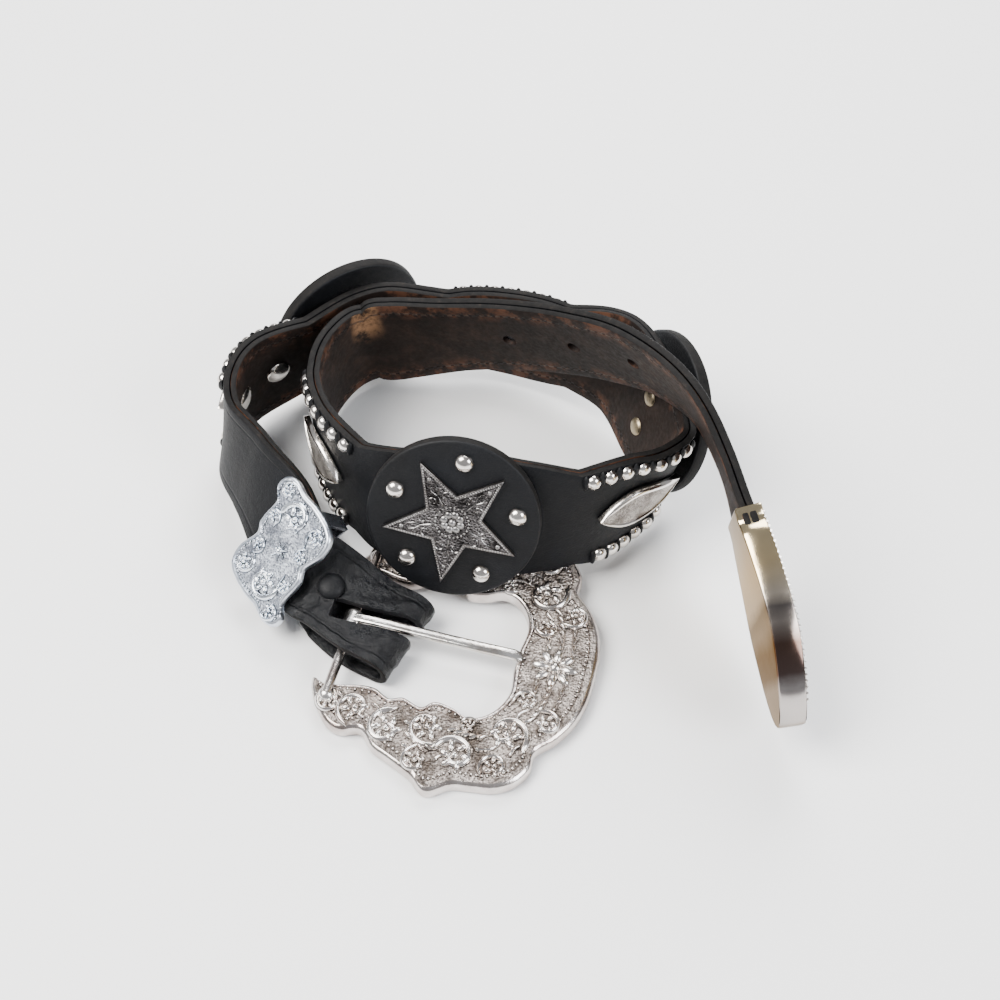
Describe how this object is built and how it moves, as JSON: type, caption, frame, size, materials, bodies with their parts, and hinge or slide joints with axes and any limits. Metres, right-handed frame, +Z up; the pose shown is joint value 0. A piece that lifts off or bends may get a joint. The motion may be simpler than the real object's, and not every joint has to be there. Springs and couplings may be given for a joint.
{
  "type": "concho belt",
  "caption": "Scalloped two-layer leather concho belt with star discs, nailheads and a silver buckle set, curled on its edge with the buckle open in front.",
  "frame": {"origin": "middle of the underside of the whole part's box, on the floor that the belt stands on", "axes": "+Z up, +Y away from the buckle to the back of the curl, +X to the right with the buckle in front"},
  "size_m": [0.1722, 0.1758, 0.0743],
  "materials": {
    "leather": "satin, nearly black",
    "lining": "matt, brown",
    "silver": "polished, engraved",
    "antiqued": "antiqued",
    "nickel": "polished",
    "brass": "satin"
  },
  "bodies": {
    "belt": {"strap_leather": "leather", "strap_lining": "lining", "concho_disc_1": "leather", "concho_star_1": "antiqued", "spot_1_1": "nickel", "spot_1_2": "nickel", "spot_1_3": "nickel", "spot_1_4": "nickel", "spot_1_5": "nickel", "concho_disc_2": "leather", "concho_star_2": "antiqued", "spot_2_1": "nickel", "spot_2_2": "nickel", "spot_2_3": "nickel", "spot_2_4": "nickel", "spot_2_5": "nickel", "concho_disc_3": "leather", "concho_star_3": "antiqued", "spot_3_1": "nickel", "spot_3_2": "nickel", "spot_3_3": "nickel", "spot_3_4": "nickel", "spot_3_5": "nickel", "lozenge_1": "silver", "stud_row_1_upper": "nickel", "stud_row_1_lower": "nickel", "lozenge_2": "silver", "stud_row_2_upper": "nickel", "stud_row_2_lower": "nickel", "lozenge_3": "silver", "stud_row_3_upper": "nickel", "stud_row_3_lower": "nickel", "lozenge_4": "silver", "stud_row_4_upper": "nickel", "stud_row_4_lower": "nickel", "rivet_disc_1_upper": "brass", "rivet_disc_1_lower": "brass", "rivet_disc_2_upper": "brass", "rivet_disc_2_lower": "brass", "rivet_disc_3_upper": "brass", "rivet_disc_3_lower": "brass", "rivet_lozenge_1_first": "silver", "rivet_lozenge_1_second": "silver", "rivet_lozenge_2_first": "silver", "rivet_lozenge_2_second": "silver", "rivet_lozenge_3_first": "silver", "rivet_lozenge_3_second": "silver", "rivet_lozenge_4_first": "silver", "rivet_lozenge_4_second": "silver", "cap_rivet": "leather", "buckle_frame": "silver", "keeper": "silver", "strap_tip": "silver"},
    "tongue": {"buckle_tongue": "silver"}
  },
  "joints": [
    {"name": "tongue_hinge", "type": "hinge", "parent": "belt", "child": "tongue", "pos_m": [-0.03948, -0.0339, 0.00771], "axis": [-0.2502, -0.9676, -0.0349], "range_deg": [0, 100]}
  ]
}
